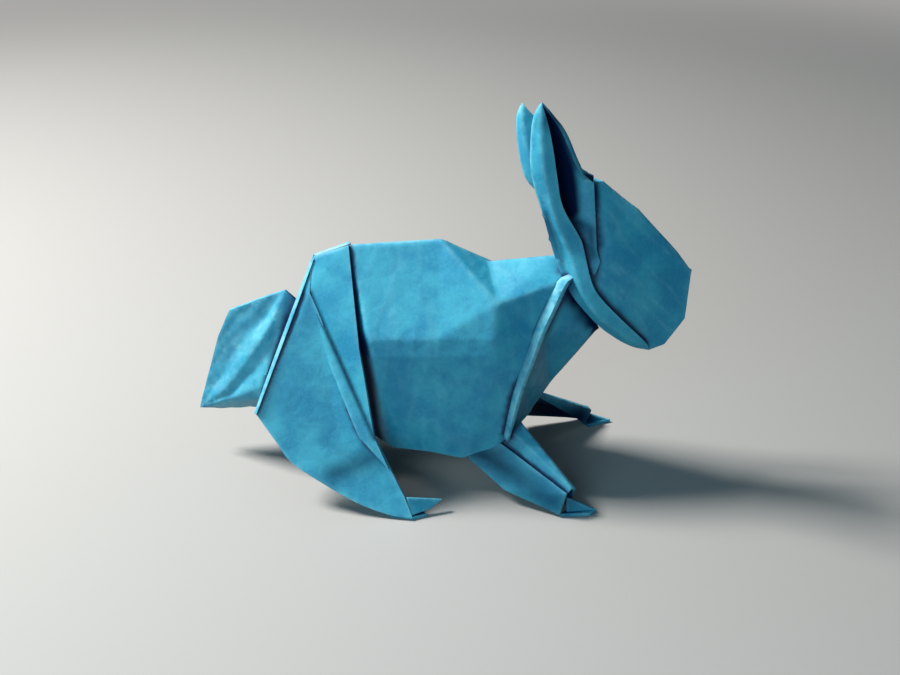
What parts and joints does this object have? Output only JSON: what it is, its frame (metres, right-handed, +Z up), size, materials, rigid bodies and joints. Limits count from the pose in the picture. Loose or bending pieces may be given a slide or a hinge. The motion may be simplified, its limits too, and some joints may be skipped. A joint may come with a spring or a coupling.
{
  "type": "origami rabbit",
  "caption": "Rabbit folded from one square sheet of blue paper, sitting with raised ears, tented hollow body and a pointed tail.",
  "frame": {"origin": "on the ground, in the middle of the length and of the width", "axes": "+X towards the nose, +Y towards the rabbit's left side, +Z up"},
  "size_m": [0.1277, 0.055, 0.1037],
  "materials": {
    "paper": "matt blue craft paper, a little crumpled"
  },
  "bodies": {
    "root": {"folded_rabbit": "paper"}
  },
  "joints": []
}
